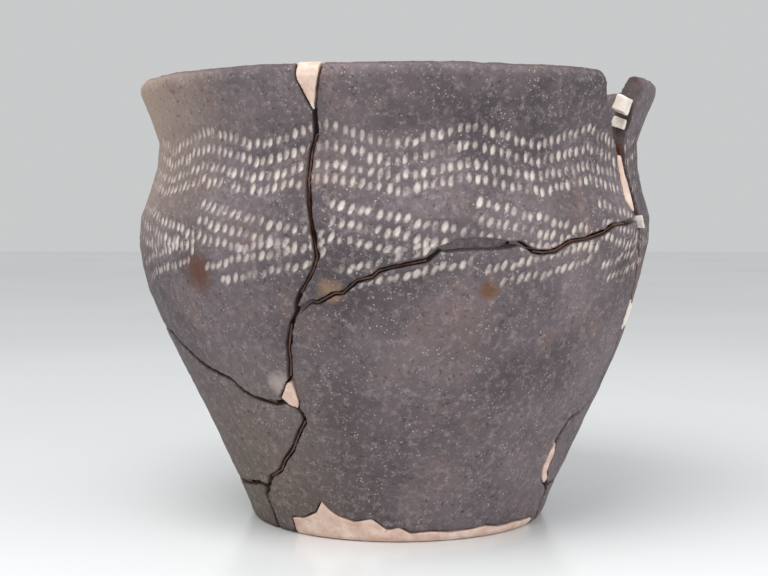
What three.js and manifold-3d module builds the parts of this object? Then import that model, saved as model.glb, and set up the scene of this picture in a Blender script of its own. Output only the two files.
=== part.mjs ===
import * as THREE from 'three';
import { mergeVertices } from 'three/addons/utils/BufferGeometryUtils.js';
import Module from 'manifold-3d';

const wasm = await Module();
wasm.setup();

// A hand-built pot, broken in antiquity and glued together again.
// Millimetres and degrees. Z is up, the foot stands on Z = 0, and the photographed side faces -Y.
// An angle is measured from the front, positive towards +X.

// Outside of the wall, from the foot up
const FOOT_RADIUS = 52.5;
const HEEL_HEIGHT = 9;
const HEEL_RADIUS = 55.5;
const FLANK_HEIGHT = 38;
const FLANK_RADIUS = 68.6;
const BELLY_HEIGHT = 70;
const BELLY_RADIUS = 83;
const SHOULDER_HEIGHT = 99;
const SHOULDER_RADIUS = 90.3;
const NAPE_HEIGHT = 116;
const NAPE_RADIUS = 86.7;
const NECK_HEIGHT = 130;
const NECK_RADIUS = 84.3;
const RIM_HEIGHT = 147.7;
const RIM_RADIUS = 90.6;

// Thickness of the clay, and how far the shoulder leans to the left of a true round
const WALL_THICKNESS = 6.6;
const FLOOR_THICKNESS = 8;
const SHOULDER_LEAN = 1.9;

// Breaks, fills and glue
const CRACK_WIDTH = 1.2;
const CLEARANCE = 0.35;
const GLUE_RECESS = 1.2;
const SKIM_DEPTH = 3;
const CUT_MARGIN = 4;
const LONGEST_STEP = 9;
const COLUMN_OVERLAP = 0.2;

const TURNS = 56;
const DEGREE = Math.PI / 180;

// The outline of the wall is one smooth curve through its named heights
const outline = new THREE.SplineCurve([
  [FOOT_RADIUS, 0],
  [HEEL_RADIUS, HEEL_HEIGHT],
  [FLANK_RADIUS, FLANK_HEIGHT],
  [BELLY_RADIUS, BELLY_HEIGHT],
  [SHOULDER_RADIUS, SHOULDER_HEIGHT],
  [NAPE_RADIUS, NAPE_HEIGHT],
  [NECK_RADIUS, NECK_HEIGHT],
  [RIM_RADIUS, RIM_HEIGHT],
].map(([radius, height]) => new THREE.Vector2(radius, height)));
const outlinePoints = outline.getSpacedPoints(120);

// Radius and outward direction of the outline at a height
function outlineAt(height) {
  const z = THREE.MathUtils.clamp(height, 0, RIM_HEIGHT);
  let i = outlinePoints.findIndex((point) => point.y >= z);
  if (i < 1) i = 1;
  const low = outlinePoints[i - 1];
  const high = outlinePoints[i];
  const share = (z - low.y) / (high.y - low.y);
  const along = high.clone().sub(low).normalize();
  return {
    radius: THREE.MathUtils.lerp(low.x, high.x, share),
    out: along.y,
    up: height > RIM_HEIGHT || height < 0 ? 0 : -along.x,
  };
}

// The shoulder bulges to the left, as on a pot built up by hand without a wheel
function lean(height, angle) {
  const belly = Math.exp(-(((height - SHOULDER_HEIGHT + 12) / 24) ** 2));
  return -SHOULDER_LEAN * belly * Math.sin(angle * DEGREE);
}

// A point of the wall: angle, height, and depth measured outwards from its outer face
function wallPoint(angle, height, depth) {
  const { radius, out, up } = outlineAt(height);
  const r = radius + lean(height, angle) + depth * out;
  return new THREE.Vector3(
    r * Math.sin(angle * DEGREE),
    -r * Math.cos(angle * DEGREE),
    height + depth * up,
  );
}

function toSolid(geometry) {
  const bare = geometry.clone();
  bare.deleteAttribute('normal');
  bare.deleteAttribute('uv');
  const merged = mergeVertices(bare, 1e-4);
  return new wasm.Manifold(new wasm.Mesh({
    numProp: 3,
    vertProperties: Float32Array.from(merged.attributes.position.array),
    triVerts: Uint32Array.from(merged.index.array),
  }));
}

function toGeometry(solid) {
  const mesh = solid.getMesh();
  const geometry = new THREE.BufferGeometry();
  geometry.setAttribute('position', new THREE.BufferAttribute(mesh.vertProperties, 3));
  geometry.setIndex(new THREE.BufferAttribute(mesh.triVerts, 1));
  geometry.computeVertexNormals();
  return geometry;
}

// The whole pot before it broke: foot, wall, rounded lip, inside wall and floor in one revolve
function wholePot() {
  const lip = WALL_THICKNESS / 2;
  const outside = outline.getSpacedPoints(18);
  const top = outline.getTangent(1);
  const inward = new THREE.Vector2(-top.y, top.x);
  const profile = [new THREE.Vector2(0, 0), new THREE.Vector2(FOOT_RADIUS - 1.2, 0)];
  outside[0].y = 1.2;
  profile.push(...outside);
  const lipCentre = outside.at(-1).clone().addScaledVector(inward, lip);
  for (let i = 1; i < 5; i++) {
    const turn = (Math.PI * i) / 5;
    const point = inward.clone().multiplyScalar(-Math.cos(turn));
    profile.push(point.addScaledVector(top, Math.sin(turn)).multiplyScalar(lip).add(lipCentre));
  }
  for (let i = 16; i >= 0; i--) {
    const along = outline.getTangentAt(i / 16);
    const inside = outline.getPointAt(i / 16);
    inside.addScaledVector(new THREE.Vector2(-along.y, along.x), WALL_THICKNESS);
    if (inside.y > FLOOR_THICKNESS + 3) profile.push(inside);
  }
  profile.push(new THREE.Vector2(profile.at(-1).x - 4, FLOOR_THICKNESS));
  profile.push(new THREE.Vector2(0, FLOOR_THICKNESS));
  const pot = new THREE.LatheGeometry(profile, TURNS);
  pot.rotateX(Math.PI / 2);
  const position = pot.attributes.position;
  for (let i = 0; i < position.count; i++) {
    const x = position.getX(i);
    const y = position.getY(i);
    const r = Math.hypot(x, y);
    const angle = Math.atan2(x, -y) / DEGREE;
    const grow = r > 1 ? 1 + lean(position.getZ(i), angle) / r : 1;
    position.setXY(i, x * grow, y * grow);
  }
  return toSolid(pot);
}

// Moves each point of a line on the wall to its left by a distance; on a ring, that is inwards
function sideways(points, distance, closed = false) {
  const count = points.length;
  return points.map(([angle, height], i) => {
    const before = points[closed ? (i + count - 1) % count : Math.max(i - 1, 0)];
    const after = points[closed ? (i + 1) % count : Math.min(i + 1, count - 1)];
    const arc = outlineAt(height).radius * DEGREE;
    const ways = [[before, points[i]], [points[i], after]]
      .map(([a, b]) => new THREE.Vector2((b[0] - a[0]) * arc, b[1] - a[1]))
      .filter((way) => way.length() > 0)
      .map((way) => way.normalize());
    const mean = ways[0].clone().add(ways.at(-1)).normalize();
    const stretch = distance / Math.max(mean.dot(ways[0]), 0.6);
    return [angle - (mean.y * stretch) / arc, height + mean.x * stretch];
  });
}

// A solid that follows the wall: an outline in angle and height, between two depths
function wallBlock(points, depthOut, depthIn) {
  const shape = new THREE.Shape(points.map(([angle, height]) => new THREE.Vector2(angle, height)));
  const block = new THREE.ExtrudeGeometry(shape, { depth: 1, bevelEnabled: false });
  const position = block.attributes.position;
  for (let i = 0; i < position.count; i++) {
    const depth = THREE.MathUtils.lerp(depthIn, depthOut, position.getZ(i));
    const point = wallPoint(position.getX(i), position.getY(i), depth);
    position.setXYZ(i, point.x, point.y, point.z);
  }
  return toSolid(block);
}

// Adds points to a line on the wall, so that it keeps to the curve of the wall between them
function finer(points) {
  return points.flatMap(([angle, height], i) => {
    if (i === 0) return [[angle, height]];
    const [fromAngle, fromHeight] = points[i - 1];
    const run = (angle - fromAngle) * DEGREE * outlineAt(height).radius;
    const steps = Math.ceil(Math.hypot(run, height - fromHeight) / LONGEST_STEP);
    return Array.from({ length: steps }, (_, k) => {
      const share = (k + 1) / steps;
      return [
        THREE.MathUtils.lerp(fromAngle, angle, share),
        THREE.MathUtils.lerp(fromHeight, height, share),
      ];
    });
  });
}
function ribbon(points, width) {
  const line = finer(points);
  return [...sideways(line, width / 2), ...sideways(line, -width / 2).reverse()];
}
const throughCut = (points) => wallBlock(points, CUT_MARGIN, -WALL_THICKNESS - CUT_MARGIN);

// The break across the floor, seen from above: an upright slab from wall to wall, or between bends
const FLOOR_BREAK_LEFT = -51.7;
const FLOOR_BREAK_RIGHT = 66;
const FLOOR_BREAK_WAVE = 2;
function floorSlab(width, low, high, withEnds) {
  const ends = [FLOOR_BREAK_LEFT, FLOOR_BREAK_RIGHT].map((angle) => new THREE.Vector2(
    Math.sin(angle * DEGREE),
    -Math.cos(angle * DEGREE),
  ).multiplyScalar(FOOT_RADIUS - CUT_MARGIN));
  const bends = [0.2, 0.35, 0.5, 0.65, 0.8].map((share, i) => {
    const bend = ends[0].clone().lerp(ends[1], share);
    bend.y += i % 2 ? -FLOOR_BREAK_WAVE : FLOOR_BREAK_WAVE;
    return bend;
  });
  const line = withEnds ? [ends[0], ...bends, ends[1]] : bends;
  const near = line.map((point) => new THREE.Vector2(point.x, point.y - width / 2));
  const far = line.map((point) => new THREE.Vector2(point.x, point.y + width / 2)).reverse();
  const slab = new THREE.ExtrudeGeometry(
    new THREE.Shape([...near, ...far]),
    { depth: high - low, bevelEnabled: false },
  );
  slab.translate(0, 0, low);
  return toSolid(slab);
}

// Lines of the breaks on the wall, as [angle, height], read from the photographed side
const RIM_TOP = RIM_HEIGHT + 9;
const BELOW_FOOT = -CUT_MARGIN;
const lines = {
  front: [
    [-16.8, 139], [-17, 130.5], [-18, 126], [-18.2, 117], [-17.6, 111], [-16.2, 101],
    [-15.6, 94], [-16.6, 90], [-18.2, 86], [-19.6, 83], [-20.8, 80], [-21, 77],
  ],
  diagonal: [
    [-21, 77], [-19, 79], [-17.7, 80.5], [-16.3, 80], [-12.6, 83], [-11, 83], [-8, 87],
    [-5, 88], [-3.6, 90], [-1, 91], [5.5, 93], [8, 96.5], [12, 98], [20, 97.5], [24.5, 98],
    [27.5, 95.5], [30, 95], [33, 95.5], [37, 98.5], [41, 99], [47, 101], [51, 103.5],
    [56, 104], [63.2, 105.4],
  ],
  lowerLeft: [
    [-21, 77], [-22.8, 73], [-23.7, 69], [-24.6, 65], [-24.9, 61], [-25.9, 56], [-26, 52],
    [-26, 46], [-24.9, 42.5], [-25, 41], [-27.3, 37.6], [-29.5, 34], [-31.6, 30.6],
    [-36, 26.3], [-39, 22.5], [-45, 19.3], [-48, 15.4], [-51.5, 12.3], [-51.8, 8.5],
    [-51.7, 4.5], [-51.7, BELOW_FOOT],
  ],
  belt: [
    [-26, 46], [-28.4, 47.6], [-32.3, 46.5], [-38.4, 48], [-42.3, 49.7], [-45.4, 53.5],
    [-50.8, 55.2], [-55.8, 57], [-63, 62.3], [-68.7, 66.4], [-78, 68], [-90, 66], [-104, 69],
    [-118, 66], [-132, 71], [-146, 69], [-160, 74], [-174, 70], [-188, 73], [-202, 69],
    [-216, 73], [-229, 70], [-242, 74], [-256, 71], [-268, 74], [-281, 72], [-289.5, 76],
  ],
  right: [
    [64.2, 104.5], [65, 101], [65.6, 96], [68, 92], [67.6, 89.5], [69.5, 83], [70.5, 77],
    [70.4, 66], [71, 56], [72, 47], [66, 40.5], [57, 38], [55.4, 34], [54, 30], [54, 23],
    [57, 17], [64, 13], [66, 11], [66, 5], [66, BELOW_FOOT],
  ],
  backUpperLeft: [[-118, 66], [-114, 84], [-119, 100], [-115, 116], [-118, 132], [-116, RIM_TOP]],
  backUpperRight: [[-216, 73], [-212, 90], [-217, 108], [-213, 126], [-216, RIM_TOP]],
  backLowerLeft: [[-146, 69], [-142, 54], [-147, 40], [-143, 28], [-145, 13]],
  backLowerRight: [[-242, 74], [-238, 58], [-243, 42], [-239, 28], [-241, 13]],
  heel: [
    [-48, 15.4], [-53, 16], [-62, 14.4], [-75, 13], [-90, 14.5], [-105, 12.5], [-120, 14],
    [-135, 12.5], [-150, 14], [-165, 13], [-180, 14.5], [-195, 12.5], [-210, 14], [-225, 13],
    [-240, 14.5], [-255, 12.5], [-268, 14], [-280, 12.5], [-291, 13.5], [-296, 13],
  ],
};

// The ragged upper edge of the plaster skim along the foot, from right to left
const skimTop = [
  [61, 2.6], [56, 2.8], [47, 3], [38, 3], [33, 4], [27, 3.4], [20, 3], [12, 3.6], [4, 3.4],
  [0, 5.5], [-4, 4.6], [-9, 8.2], [-15, 7], [-20, 8.3], [-24, 10.5], [-26, 13.5], [-29, 9],
  [-35, 6.5], [-41, 6],
];

// Rings on the wall, anticlockwise seen from outside: what is missing, and what plaster fills
const rings = {
  missing: [
    [62, RIM_TOP], [45.2, RIM_TOP], [45.4, 150], [48.5, 142.6], [49.8, 141], [53.6, 135.3],
    [57, 130], [58, 126], [57.7, 119], [57.7, 111], [60.3, 108], [62.5, 105.5], [64, 101.5],
    [65.8, 101.5], [64.9, 104.5], [63.8, 112], [63.2, 120], [62.2, 130], [62.6, 136],
    [61, 141], [61.5, 148],
  ],
  gape: [[8, 95.2], [13, 96], [20, 96], [24, 97.2], [21, 98.9], [16, 99.5], [11, 99.2]],
  rimFill: [
    [-16.8, 137], [-16, 142], [-15.2, 146.5], [-14, RIM_TOP], [-19.9, RIM_TOP],
    [-19.6, 146.5], [-18.7, 143], [-18, 140],
  ],
  junctionFill: [[-30.4, 48.9], [-28.6, 46.4], [-25.6, 45.6], [-25, 48], [-25.6, 54.4], [-27.2, 54.4]],
  bellyFill: [
    [70, 67], [74, 67.5], [79, 69.5], [78, 75], [74, 76.5], [71, 78], [69.4, 73],
  ],
  heelFill: [
    [52.8, 22], [55, 17.5], [59, 14.6], [60.4, 16.5], [57.5, 20], [56.6, 27], [54.5, 31],
    [53.2, 28],
  ],
};

// The skim lies in a shallow bed along the foot, made column by column round the curve
function skimBlock(gap) {
  const gapAngle = gap / FOOT_RADIUS / DEGREE;
  const columns = skimTop.slice(1).map(([left, leftTop], i) => {
    const [right, rightTop] = skimTop[i];
    const a = left + (i === skimTop.length - 2 ? gapAngle : 0);
    const b = right + (i === 0 ? -gapAngle : COLUMN_OVERLAP);
    const face = [[a, BELOW_FOOT], [b, BELOW_FOOT], [b, rightTop - gap], [a, leftTop - gap]];
    return wallBlock(face, CUT_MARGIN, gap - SKIM_DEPTH);
  });
  return columns.reduce((solid, column) => solid.add(column));
}

const pot = wholePot();
const cuts = [
  ...Object.values(lines).map((line) => throughCut(ribbon(line, CRACK_WIDTH))),
  ...['missing', 'gape', 'rimFill', 'junctionFill', 'bellyFill', 'heelFill']
    .map((name) => throughCut(rings[name])),
  skimBlock(0),
  floorSlab(CRACK_WIDTH, BELOW_FOOT, FLOOR_THICKNESS + CUT_MARGIN, true),
];
const broken = cuts.reduce((solid, cut) => solid.subtract(cut), pot).decompose();

// Each sherd is the piece of the broken pot that lies nearest to a point of its own
const sherds = {
  sherd_upper_left: { at: [-50, 110], color: 0x6b6164 },
  sherd_upper_front: { at: [15, 120], color: 0x6f666a },
  sherd_lower_front: { at: [10, 55], color: 0x5d5457 },
  sherd_lower_left: { at: [-60, 35], color: 0x6b5f55 },
  sherd_upper_right: { at: [100, 110], color: 0x655b5c },
  sherd_lower_right: { at: [90, 40], color: 0x63594f },
  sherd_upper_back: { at: [180, 110], color: 0x675d60 },
  sherd_lower_back: { at: [170, 40], color: 0x5f5556 },
  sherd_foot: { at: [180, 5], color: 0xb08f6f },
};
function nearest([angle, height]) {
  const seat = wallPoint(angle, height, -WALL_THICKNESS / 2);
  const distance = (solid) => {
    const { vertProperties } = solid.getMesh();
    let least = Infinity;
    for (let i = 0; i < vertProperties.length; i += 3) {
      least = Math.min(least, seat.distanceTo(new THREE.Vector3().fromArray(vertProperties, i)));
    }
    return least;
  };
  return broken.reduce((best, solid) => (distance(solid) < distance(best) ? solid : best));
}

// A fill takes the shape of the pot inside its ring, and stays clear of the sherds
const fillOf = (ring) => pot.intersect(throughCut(sideways(rings[ring], CLEARANCE, true)));
// Dried glue stands in a crack as a thin plate, below both faces of the wall
const GLUE_WIDTH = CRACK_WIDTH - 2 * CLEARANCE;
const glueIn = (points) => (
  wallBlock(ribbon(points, GLUE_WIDTH), -GLUE_RECESS, GLUE_RECESS - WALL_THICKNESS)
);
const between = (line, first, last) => lines[line].slice(first, last + 1);

const plaster = new THREE.MeshStandardMaterial({ color: 0xe6d3c6, roughness: 0.9, metalness: 0 });
const glue = new THREE.MeshStandardMaterial({ color: 0x4a2617, roughness: 0.35, metalness: 0 });
const fills = {
  fill_rim: fillOf('rimFill'),
  fill_junction: fillOf('junctionFill'),
  fill_belly_right: fillOf('bellyFill'),
  fill_heel_right: fillOf('heelFill'),
  fill_foot_edge: pot.intersect(skimBlock(CLEARANCE)),
  fill_right_strip: wallBlock(
    [[58.4, 126], [58.1, 119], [58.1, 111.5], [60.7, 108.4], [61.8, 107.6], [62, 112], [61.2, 119], [60.6, 126]],
    -CLEARANCE, CLEARANCE - WALL_THICKNESS),
  fill_shoulder_right: wallBlock(
    [[63.1, 105.2], [64.3, 102], [65.3, 102], [64.5, 104.8], [64.2, 106.4], [63, 106.4]],
    1, GLUE_RECESS - WALL_THICKNESS),
  fill_rim_right: wallBlock(
    [[57.5, 139.2], [60.4, 138.4], [60.5, 143.4], [58, 143.8]], -0.8, GLUE_RECESS - WALL_THICKNESS),
  fill_neck_right: wallBlock(
    [[60.4, 134], [61.8, 134], [62, 137], [60.8, 137.2]], -1, GLUE_RECESS - WALL_THICKNESS),
};
const glues = {
  glue_front_seam: glueIn(between('front', 1, 9)),
  glue_front_crack_left: glueIn(between('diagonal', 2, 10)),
  glue_front_crack_right: glueIn(between('diagonal', 15, 22)),
  glue_front_joint: glueIn(between('lowerLeft', 1, 5)),
  glue_lower_left_seam: glueIn(between('lowerLeft', 9, 15)),
  glue_left_seam: glueIn(between('belt', 2, 12)),
  glue_back_belly_left: glueIn(between('belt', 14, 19)),
  glue_back_belly_right: glueIn(between('belt', 21, 25)),
  glue_right_seam: glueIn(between('right', 2, 5)),
  glue_lower_right_seam: glueIn(between('right', 8, 12)),
  glue_right_break: wallBlock(
    [[62.4, 107.5], [63.2, 107.5], [63.1, 112], [62.6, 119.5], [61.6, 129], [61, 129], [61.6, 119.5], [62.4, 112]],
    -GLUE_RECESS, GLUE_RECESS - WALL_THICKNESS),
  glue_back_upper_left: glueIn(between('backUpperLeft', 1, 4)),
  glue_back_upper_right: glueIn(between('backUpperRight', 1, 3)),
  glue_back_lower_left: glueIn(between('backLowerLeft', 1, 3)),
  glue_back_lower_right: glueIn(between('backLowerRight', 1, 3)),
  glue_heel_seam: glueIn(between('heel', 2, 7)),
  glue_heel_seam_back: glueIn(between('heel', 9, 13)),
  glue_heel_seam_right: glueIn(between('heel', 15, 18)),
  glue_floor_seam: floorSlab(GLUE_WIDTH, GLUE_RECESS, FLOOR_THICKNESS - GLUE_RECESS, false),
};

const group = new THREE.Group();
function add(name, solid, material) {
  const mesh = new THREE.Mesh(toGeometry(solid), material);
  mesh.name = name;
  group.add(mesh);
}
for (const [name, { at, color }] of Object.entries(sherds)) {
  add(name, nearest(at), new THREE.MeshStandardMaterial({ color, roughness: 0.85, metalness: 0 }));
}
for (const [name, solid] of Object.entries(fills)) add(name, solid, plaster);
for (const [name, solid] of Object.entries(glues)) add(name, solid, glue);

export default group;
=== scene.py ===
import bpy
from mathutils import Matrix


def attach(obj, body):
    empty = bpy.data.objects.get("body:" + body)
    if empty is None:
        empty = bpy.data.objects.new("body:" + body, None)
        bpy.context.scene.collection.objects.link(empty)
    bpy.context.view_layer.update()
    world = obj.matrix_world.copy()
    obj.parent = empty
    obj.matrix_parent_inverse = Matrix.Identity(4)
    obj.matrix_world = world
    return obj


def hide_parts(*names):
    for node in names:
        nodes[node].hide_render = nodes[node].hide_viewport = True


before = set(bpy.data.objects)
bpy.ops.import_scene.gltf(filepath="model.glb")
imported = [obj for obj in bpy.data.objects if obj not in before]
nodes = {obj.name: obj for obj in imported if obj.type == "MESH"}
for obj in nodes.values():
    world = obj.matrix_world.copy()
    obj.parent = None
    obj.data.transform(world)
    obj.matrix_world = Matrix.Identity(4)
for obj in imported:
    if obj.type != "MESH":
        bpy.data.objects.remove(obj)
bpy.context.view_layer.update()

import math
import bpy
import numpy as np

# The clay sherds: nine pieces of one hand-built pot, dark reduced earthenware with crushed grit.
# The potter pressed a short comb into the soft clay, four rows at the neck and a denser band below.
# Each sherd keeps its solid's outline, remade as fine clay with dents, lumps and worn edges.
MM = 0.001
SHERDS = ["sherd_upper_left", "sherd_upper_front", "sherd_lower_front", "sherd_lower_left",
          "sherd_upper_right", "sherd_lower_right", "sherd_upper_back", "sherd_lower_back",
          "sherd_foot"]
CLAY_GRAIN = 0.75 * MM
WELD_REACH = 0.001 * MM

# One tooth of the comb in millimetres, and the angle between two teeth in degrees. The play is how
# far a tooth's length and width, and the pressure on it, differ from one to the next.
IMPRINT_LENGTH = 3.9
IMPRINT_WIDTH = 2.0
IMPRINT_DEPTH = 0.75
IMPRINT_STEP = 1.8
IMPRINT_ROUNDNESS = 0.6
IMPRINT_PLAY = (0.85, 1.1)
PRESSURE_PLAY = (0.55, 1.0)

# The pattern repeats twelve times round the pot. A neck row has a middle height and a swing.
# A shoulder row has a height, a climb, and the part of the repeat that it covers.
REPEAT_ANGLE = 30.0
NECK_ROWS = [(130.6, 3.0), (125.3, 2.6), (120.2, 2.0), (116.0, 2.0)]
NECK_SLANT = 8
SHOULDER_ROWS = [(110.5, -10.0, 0.0, 1.0), (105.4, -9.5, 0.0, 1.0), (100.4, -9.0, 0.0, 0.5),
                 (84.5, 8.5, 0.15, 0.95), (89.8, 8.5, 0.05, 1.0), (94.6, 5.0, 0.35, 0.8)]
SHOULDER_START = -44.0
FALLING_SLANT = 22
RISING_SLANT = 30
ANGLE_SCATTER = 0.13
HEIGHT_SCATTER = 0.3
SLANT_SCATTER = 6

# The chart of the unrolled wall: its mean radius, its height and the reach of a tooth's patch in
# millimetres, and how many points stand for a millimetre
WALL_RADIUS = 88.0
CHART_HEIGHT = 160
PATCH_REACH = 3
CHART_FINENESS = 4

# Grit under the skin as a height and a size in millimetres and a seed, the crumbs of a broken edge
# in the same way, and how much the skin has worn away
GRIT = [(0.10, 1.6, 3), (0.16, 5, 5), (0.22, 17, 8)]
CRUMBS = (0.22, 2.2, 12)
WORN_AWAY = 0.15
LATTICE_HEIGHTS = 4096
LATTICE_PRIMES = (73856093, 19349663, 83492791)

# How squarely a face has to point away from the axis or towards it to count as outside or inside,
# over what range that changes, and how level a face is that counts as rim or foot
OUTSIDE_FROM = 0.55
INSIDE_FROM = 0.4
FACING_RANGE = 0.25
LEVEL_FROM = 0.97


def imprint_centres(rng):
    """Angle, height and slant of each comb tooth: four triangle waves, then rows that rise or fall."""
    found = []
    angles = np.arange(-180, 180, IMPRINT_STEP)
    for middle, swing in NECK_ROWS:
        wave = np.abs(((angles / REPEAT_ANGLE) % 1.0) - 0.5) * 4 - 1
        found.append(np.stack([angles, middle - swing * wave, 0 * angles + NECK_SLANT], 1))
    for height, climb, first, last in SHOULDER_ROWS:
        share = ((angles - SHOULDER_START) / REPEAT_ANGLE) % 1.0
        keep = (share >= first) & (share <= last)
        slant = 0 * angles + (FALLING_SLANT if climb < 0 else RISING_SLANT)
        found.append(np.stack([angles, height + climb * share, slant], 1)[keep])
    centres = np.concatenate(found)
    centres[:, 0] += rng.normal(0, ANGLE_SCATTER, len(centres))
    centres[:, 1] += rng.normal(0, HEIGHT_SCATTER, len(centres))
    centres[:, 2] += rng.normal(0, SLANT_SCATTER, len(centres))
    return centres


def imprint_chart(rng):
    """How deep each point of the unrolled wall is dented, from 0 to 1.

    A tooth is an oval: one less the squared distances along and across it, as shares of its half
    length and half width, raised to a power under one so that its bottom is round.
    """
    width = int(2 * math.pi * WALL_RADIUS * CHART_FINENESS)
    chart = np.zeros((CHART_HEIGHT * CHART_FINENESS, width), np.float32)
    reach = PATCH_REACH * CHART_FINENESS
    dv, du = np.mgrid[-reach:reach + 1, -reach:reach + 1] / CHART_FINENESS
    for angle, z, slant in imprint_centres(rng):
        turn = math.radians(slant)
        along = du * math.sin(turn) + dv * math.cos(turn)
        across = du * math.cos(turn) - dv * math.sin(turn)
        long = IMPRINT_LENGTH / 2 * rng.uniform(*IMPRINT_PLAY)
        wide = IMPRINT_WIDTH / 2 * rng.uniform(*IMPRINT_PLAY)
        dent = np.clip(1 - (along / long) ** 2 - (across / wide) ** 2, 0, 1) ** IMPRINT_ROUNDNESS
        dent *= rng.uniform(*PRESSURE_PLAY)
        u = int((math.radians(angle) + math.pi) * WALL_RADIUS * CHART_FINENESS)
        v = int(z * CHART_FINENESS)
        columns = (np.arange(u - reach, u + reach + 1)) % width
        patch = chart[v - reach:v + reach + 1, columns]
        chart[v - reach:v + reach + 1, columns] = np.maximum(patch, dent)
    return chart


def sampled(chart, co):
    """The chart's value at each point, from its angle and height, blended between four neighbours."""
    u = (np.arctan2(co[:, 0], -co[:, 1]) + math.pi) * WALL_RADIUS * CHART_FINENESS
    v = np.clip(co[:, 2] / MM * CHART_FINENESS, 0, chart.shape[0] - 2)
    iu = u.astype(int) % chart.shape[1]
    iv = v.astype(int)
    fu, fv = u % 1, v % 1
    nu = (iu + 1) % chart.shape[1]
    return ((chart[iv, iu] * (1 - fu) + chart[iv, nu] * fu) * (1 - fv)
            + (chart[iv + 1, iu] * (1 - fu) + chart[iv + 1, nu] * fu) * fv)


def lumps(points, size, seed):
    """Smooth random lumps: a lattice of random heights, blended between its eight nearest knots."""
    rng = np.random.default_rng(seed)
    heights = rng.uniform(-1, 1, LATTICE_HEIGHTS)
    cell = np.floor(points / size).astype(np.int64)
    part = points / size - cell
    part = part * part * (3 - 2 * part)
    total = np.zeros(len(points))
    for corner in np.ndindex(2, 2, 2):
        knot = (cell + np.array(corner)) * np.array(LATTICE_PRIMES)
        index = knot[:, 0] ^ knot[:, 1] ^ knot[:, 2]
        weight = np.prod(np.where(corner, part, 1 - part), axis=1)
        total += weight * heights[index % LATTICE_HEIGHTS]
    return total


def remade(name, grain):
    """A fine even mesh of a node's solid, from a merged copy of it."""
    mesh = nodes[name].data.copy()
    piece = bpy.data.objects.new(name + "_clay", mesh)
    bpy.context.scene.collection.objects.link(piece)
    weld = piece.modifiers.new("weld", "WELD")
    weld.merge_threshold = WELD_REACH
    remesh = piece.modifiers.new("remesh", "REMESH")
    remesh.mode = "VOXEL"
    remesh.voxel_size = grain
    remesh.use_smooth_shade = True
    depsgraph = bpy.context.evaluated_depsgraph_get()
    fine = bpy.data.meshes.new_from_object(piece.evaluated_get(depsgraph))
    piece.modifiers.clear()
    piece.data = fine
    fine.name = name + "_clay"
    return piece


def coordinates(mesh):
    """A mesh's points and their normals, one row a point."""
    values = np.empty(len(mesh.vertices) * 3)
    mesh.vertices.foreach_get("co", values)
    normals = np.empty(len(mesh.vertices) * 3)
    mesh.vertices.foreach_get("normal", normals)
    return values.reshape(-1, 3), normals.reshape(-1, 3)


def keep_mask(mesh, name, values):
    """Stores one number a point, for the material to read."""
    layer = mesh.attributes.new(name, "FLOAT", "POINT")
    layer.data.foreach_set("value", np.ascontiguousarray(values, dtype=np.float32))


def dress_clay(piece, chart):
    """Moves each point along its normal: in by its dent on the outside, and out or in with the grit.

    Broken is what points neither outwards nor inwards and isn't level. The lumps fade to nothing
    over the lowest millimetre, so that the foot stands flat.
    """
    mesh = piece.data
    co, normal = coordinates(mesh)
    radial = co[:, :2] / np.maximum(np.hypot(co[:, 0], co[:, 1]), WELD_REACH)[:, None]
    facing = (normal[:, :2] * radial).sum(1)
    outside = np.clip((facing - OUTSIDE_FROM) / FACING_RANGE, 0, 1)
    inside = np.clip((-facing - INSIDE_FROM) / FACING_RANGE, 0, 1)
    broken = np.clip(1 - outside - inside, 0, 1) * (np.abs(normal[:, 2]) < LEVEL_FROM)
    dent = sampled(chart, co) * outside
    grit = sum(height * lumps(co, size * MM, seed) for height, size, seed in GRIT)
    height, size, seed = CRUMBS
    crumbs = height * lumps(co, size * MM, seed) * broken
    off_the_foot = np.clip(co[:, 2] / MM, 0, 1)
    push = (grit + crumbs - WORN_AWAY) * MM * off_the_foot - IMPRINT_DEPTH * MM * dent
    co += normal * push[:, None]
    co[:, 2] = np.maximum(co[:, 2], 0)
    mesh.vertices.foreach_set("co", co.ravel())
    keep_mask(mesh, "imprint", dent)
    keep_mask(mesh, "broken", broken)
    mesh.update()


def linear(text):
    """A colour written as sRGB hex, turned to the linear values that a shader takes."""
    part = [int(text[i:i + 2], 16) / 255 for i in (1, 3, 5)]
    return [c / 12.92 if c <= 0.04045 else ((c + 0.055) / 1.055) ** 2.4 for c in part] + [1.0]


def add_node(tree, kind, settings=None, inputs=None, output=0):
    """Adds one node: its settings, then a link, a number or a hex colour at each of its inputs."""
    node = tree.nodes.new(kind)
    for key, value in (settings or {}).items():
        setattr(node, key, value)
    for key, value in (inputs or {}).items():
        if isinstance(value, bpy.types.NodeSocket):
            tree.links.new(value, node.inputs[key])
        else:
            node.inputs[key].default_value = linear(value) if isinstance(value, str) else value
    return node.outputs[output]


def new_material(name, roughness):
    """A material, its nodes, its shader, and the place on the pot that its patterns read."""
    material = bpy.data.materials.new(name)
    material.use_nodes = True
    tree = material.node_tree
    shader = tree.nodes["Principled BSDF"]
    shader.inputs["Roughness"].default_value = roughness
    place = add_node(tree, "ShaderNodeTexCoord", output="Object")
    return material, tree, shader, place


def patches(tree, place, size_mm, low=0.0, high=1.0, detail=4.0, rough=0.6):
    """Ragged patches of a size in millimetres: noise, counted as 0 at low and as 1 at high."""
    cloud = add_node(tree, "ShaderNodeTexNoise", {},
                     {"Vector": place, "Scale": 1 / (size_mm * MM), "Detail": detail, "Roughness": rough})
    return add_node(tree, "ShaderNodeMapRange", {}, {"Value": cloud, "From Min": low, "From Max": high})


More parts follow.
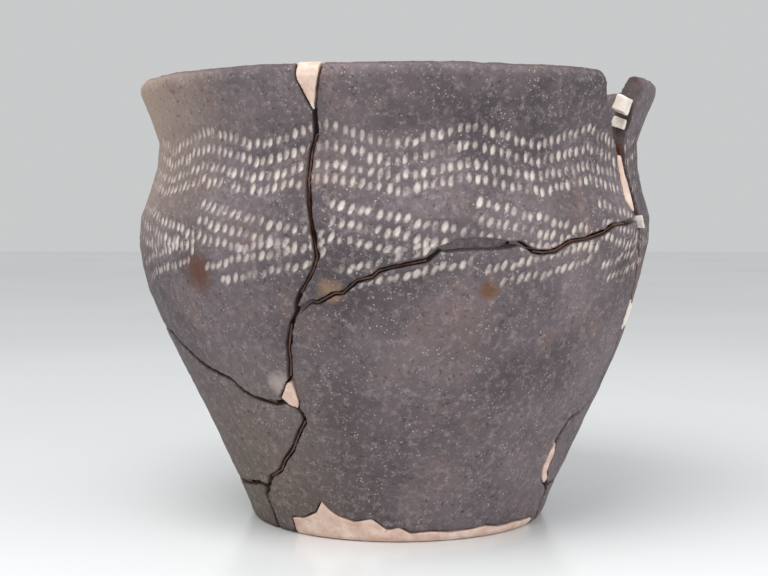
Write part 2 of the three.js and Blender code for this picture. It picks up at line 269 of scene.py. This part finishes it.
def coat(tree, base, mask, strength, colour):
    """A coat of colour over the base, as thick as the mask times a strength or a second mask."""
    amount = add_node(tree, "ShaderNodeMath", {"operation": "MULTIPLY"}, {0: mask, 1: strength})
    return add_node(tree, "ShaderNodeMix", {"data_type": "RGBA"}, {0: amount, 6: base, 7: colour}, 2)


def relief(tree, shader, place, size_mm, height_mm, strength, detail, rough=0.6):
    """Roughness too fine for the mesh: noise of a size and a height in millimetres, as a bump."""
    height = patches(tree, place, size_mm, detail=detail, rough=rough)
    bump = add_node(tree, "ShaderNodeBump", {},
                    {"Strength": strength, "Distance": height_mm * MM, "Height": height})
    tree.links.new(bump, shader.inputs["Normal"])


# Stains on the front, as a place and a radius in millimetres and a colour: two rust-brown, one tan
# and one pale scuff. Their edges wander in steps of 9 mm.
STAINS = [((-62, -62, 89), 9, "#5e3524"), ((27, -82, 84), 4, "#6b4424"),
          ((-20, -84, 84), 5, "#96775c"), ((-38, -69, 52), 7, "#b8aaa0")]
STAIN_WANDER = 9
STAIN_STRENGTH = 0.85

# Two tints on the left, each fading in over two heights and two distances to the side in
# millimetres: brown low down and warm grey by the rim
LEFT_TINTS = [((70, 20), (0, -50), "#665a50"), ((90, 135), (-50, -85), "#a48f80")]

# Grit specks in the clay, in millimetres from one to the next
SPECK_SPACING = 1.3


def stain(tree, place, centre_mm, radius_mm):
    """1 at a place on the pot, falling to 0 about a radius away: the distance from it plus noise."""
    radius = radius_mm * MM
    centre = tuple(part * MM for part in centre_mm)
    away = add_node(tree, "ShaderNodeVectorMath", {"operation": "DISTANCE"}, {0: place, 1: centre}, "Value")
    wander = add_node(tree, "ShaderNodeMath", {"operation": "MULTIPLY"},
                      {0: patches(tree, place, STAIN_WANDER), 1: radius * 1.2})
    edge = add_node(tree, "ShaderNodeMath", {"operation": "ADD"}, {0: away, 1: wander})
    return add_node(tree, "ShaderNodeMapRange", {},
                    {"Value": edge, "From Min": radius * 1.6, "From Max": radius * 0.9})


def reduced_earthenware():
    """Coarse clay, scraped by hand and fired without air: grey-mauve, matt, gritty and blotchy."""
    material, tree, shader, place = new_material("reduced_earthenware", 0.82)
    # The fire left clouds about 40 mm across
    clouds = patches(tree, place, 38, 0.35, 0.68, detail=3.0)
    base = coat(tree, "#4a4246", clouds, 1.0, "#72666a")
    side = add_node(tree, "ShaderNodeSeparateXYZ", {}, {"Vector": place}, "X")
    up = add_node(tree, "ShaderNodeSeparateXYZ", {}, {"Vector": place}, "Z")
    for heights, sides, colour in LEFT_TINTS:
        fades = [add_node(tree, "ShaderNodeMapRange", {},
                          {"Value": value, "From Min": start * MM, "From Max": end * MM})
                 for value, (start, end) in ((up, heights), (side, sides))]
        base = coat(tree, base, fades[0], fades[1], colour)
    base = coat(tree, base, patches(tree, place, 24, 0.55, 0.7, detail=2.0), 0.6, "#7a6460")
    # Pale bloom lies in patches 2 to 3 mm across
    bloom = patches(tree, place, 2.4, 0.5, 0.72, detail=6.0, rough=0.75)
    base = coat(tree, base, bloom, 0.55, "#a89c9c")
    # Bright specks of grit are about half a millimetre wide, and closer together in some places
    away = add_node(tree, "ShaderNodeTexVoronoi", {},
                    {"Vector": place, "Scale": 1 / (SPECK_SPACING * MM)}, "Distance")
    specks = add_node(tree, "ShaderNodeMapRange", {}, {"Value": away, "From Min": 0.24, "From Max": 0.12})
    specks = add_node(tree, "ShaderNodeMath", {"operation": "MULTIPLY"},
                      {0: specks, 1: patches(tree, place, 7, 0.42, 0.62, detail=3.0)})
    base = coat(tree, base, specks, 0.75, "#c4b9b4")
    # Painted shade: dark spots between them, about 1.7 mm apart, stand for the shade in small pits
    painted_pit_shade = patches(tree, place, 1.7, 0.42, 0.3, detail=3.0, rough=0.7)
    base = coat(tree, base, painted_pit_shade, 0.7, "#2e282b")
    for centre, radius, colour in STAINS:
        base = coat(tree, base, stain(tree, place, centre, radius), STAIN_STRENGTH, colour)
    # Pale earth has stayed in most of the dents
    imprint = add_node(tree, "ShaderNodeAttribute", {"attribute_name": "imprint"}, {}, "Fac")
    dented = add_node(tree, "ShaderNodeMapRange", {}, {"Value": imprint, "From Min": 0.15, "From Max": 0.7})
    base = coat(tree, base, dented, patches(tree, place, 5, 0.3, 0.55), "#d2c6be")
    # The broken edges show the browner core
    broken = add_node(tree, "ShaderNodeAttribute", {"attribute_name": "broken"}, {}, "Fac")
    base = coat(tree, base, broken, 0.6, "#4d3d36")
    tree.links.new(base, shader.inputs["Base Color"])
    relief(tree, shader, place, size_mm=1.1, height_mm=0.35, strength=0.45, detail=5.0, rough=0.7)
    return material


chart = imprint_chart(np.random.default_rng(11))
earthenware = reduced_earthenware()
for name in SHERDS:
    sherd = remade(name, CLAY_GRAIN)
    dress_clay(sherd, chart)
    sherd.data.materials.clear()
    sherd.data.materials.append(earthenware)
    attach(sherd, "root")
    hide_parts(name)

# The restorer's plaster: pale pinkish gypsum pressed into the gaps and scraped level, chalky and
# pitted with painted shade in the pits, and with a little dirt. White lumps at the right break were never
# tinted.
FILLS = [name for name in nodes if name.startswith("fill_")]
WHITE_FILLS = {"fill_rim_right", "fill_neck_right", "fill_shoulder_right", "fill_belly_right"}
PLASTER_GRAIN = 0.35 * MM
PLASTER_LUMPS = (0.22, 2.5, 21)
PLASTER_SCRAPED = 0.05


def gypsum(name, pale, dirty):
    """Plaster of gypsum, put on wet and scraped when set: chalky, quite matt, pitted with painted shade in
    the pits, and a bit dirty.
    """
    material, tree, shader, place = new_material(name, 0.9)
    base = coat(tree, pale, patches(tree, place, 5, 0.35, 0.7), 1.0, dirty)
    # Painted shade: darker brown spots about 1.2 mm across stand for the shade in small pits
    painted_pit_shade = patches(tree, place, 1.2, 0.4, 0.3, rough=0.7)
    base = coat(tree, base, painted_pit_shade, 0.5, "#8d776a")
    tree.links.new(base, shader.inputs["Base Color"])
    relief(tree, shader, place, size_mm=1.0, height_mm=0.3, strength=0.5, detail=4.0)
    return material


pink_gypsum = gypsum("tinted_gypsum", "#ead3c5", "#cfa995")
white_gypsum = gypsum("white_gypsum", "#f0ebe4", "#dccbbb")
for name in FILLS:
    fill = remade(name, PLASTER_GRAIN)
    co, normal = coordinates(fill.data)
    height, size, seed = PLASTER_LUMPS
    off_the_foot = np.clip(co[:, 2] / MM, 0, 1)
    push = (height * lumps(co, size * MM, seed) - PLASTER_SCRAPED) * MM * off_the_foot
    fill.data.vertices.foreach_set("co", (co + normal * push[:, None]).ravel())
    fill.data.update()
    fill.data.materials.clear()
    fill.data.materials.append(white_gypsum if name in WHITE_FILLS else pink_gypsum)
    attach(fill, "root")
    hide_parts(name)

# The old restorer's glue: dark brown shellac that dried in the cracks, lumpy and glossy.
# It stands below the faces of the wall, so its solids stay as they are and take this material.
SEAMS = [name for name in nodes if name.startswith("glue_")]


def shellac():
    """Shellac that dried where it was put: nearly black where thick, red-brown where thin, glossy."""
    material, tree, shader, place = new_material("dried_shellac", 0.35)
    base = coat(tree, "#2c150e", patches(tree, place, 4, 0.35, 0.65), 1.0, "#6b3a22")
    tree.links.new(base, shader.inputs["Base Color"])
    relief(tree, shader, place, size_mm=1.5, height_mm=0.4, strength=0.6, detail=3.0)
    return material


dried_shellac = shellac()
for name in SEAMS:
    seam = nodes[name]
    seam.data.materials.clear()
    seam.data.materials.append(dried_shellac)

# The stage: a pale glossy shelf under a soft pale sky, with one wide lamp above and one at the side.
SHELF_CORNERS = [(-3, -2, 0), (3, -2, 0), (3, 3, 0), (-3, 3, 0)]
SHELF_DROP = 0.2 * MM
SKY_COLOUR = "#e4e5e6"
SKY_STRENGTH = 0.75
POT_MIDDLE = (0, 0, 0.08)


def shelf():
    """Painted board: pale grey and rather glossy, its shade drifting a little over 400 mm."""
    material, tree, shader, place = new_material("pale_shelf", 0.22)
    shade = coat(tree, "#e2e5e6", patches(tree, place, 400, 0.3, 0.7, detail=1.0), 1.0, "#eceeee")
    tree.links.new(shade, shader.inputs["Base Color"])
    return material


floor_mesh = bpy.data.meshes.new("shelf")
floor_mesh.from_pydata(SHELF_CORNERS, [], [(0, 1, 2, 3)])
floor = bpy.data.objects.new("shelf", floor_mesh)
floor.location.z = -SHELF_DROP
bpy.context.scene.collection.objects.link(floor)
floor_mesh.materials.append(shelf())

world = bpy.data.worlds.new("studio")
world.use_nodes = True
bpy.context.scene.world = world
background = world.node_tree.nodes["Background"]
background.inputs["Color"].default_value = linear(SKY_COLOUR)
background.inputs["Strength"].default_value = SKY_STRENGTH


def lamp(name, place, size, watts):
    """A square lamp at a place, turned to shine on the middle of the pot."""
    light = bpy.data.lights.new(name, "AREA")
    light.size = size
    light.energy = watts
    holder = bpy.data.objects.new(name, light)
    holder.location = place
    way = np.array(POT_MIDDLE) - np.array(place)
    across = math.hypot(way[0], way[1])
    holder.rotation_euler = (math.atan2(across, -way[2]), 0, math.atan2(-way[0], way[1]))
    bpy.context.scene.collection.objects.link(holder)


lamp("top_lamp", (-0.25, -0.45, 0.95), 0.7, 9)
lamp("side_lamp", (0.7, -0.5, 0.5), 0.6, 3)

# The camera stands half a metre away, at the height of the shoulder, and looks slightly down.
# Its place and angles, in metres and radians, come from a fit to the ovals of the rim and the foot.
CAMERA_DISTANCE = 0.492
CAMERA_HEIGHT = 0.1083
FOCAL_PIXELS = 1368.0
PICTURE_WIDTH = 768
SENSOR_WIDTH = 36.0
NEAREST_SEEN = 0.01
PITCH = 0.0575
YAW = 0.0102
camera = bpy.data.cameras.new("camera")
camera.sensor_width = SENSOR_WIDTH
camera.lens = FOCAL_PIXELS / PICTURE_WIDTH * SENSOR_WIDTH
camera.clip_start = NEAREST_SEEN
viewer = bpy.data.objects.new("camera", camera)
viewer.location = (0, -CAMERA_DISTANCE, CAMERA_HEIGHT)
viewer.rotation_euler = (math.pi / 2 - PITCH, 0, YAW)
bpy.context.scene.collection.objects.link(viewer)
bpy.context.scene.camera = viewer
bpy.context.scene.view_settings.view_transform = "Standard"
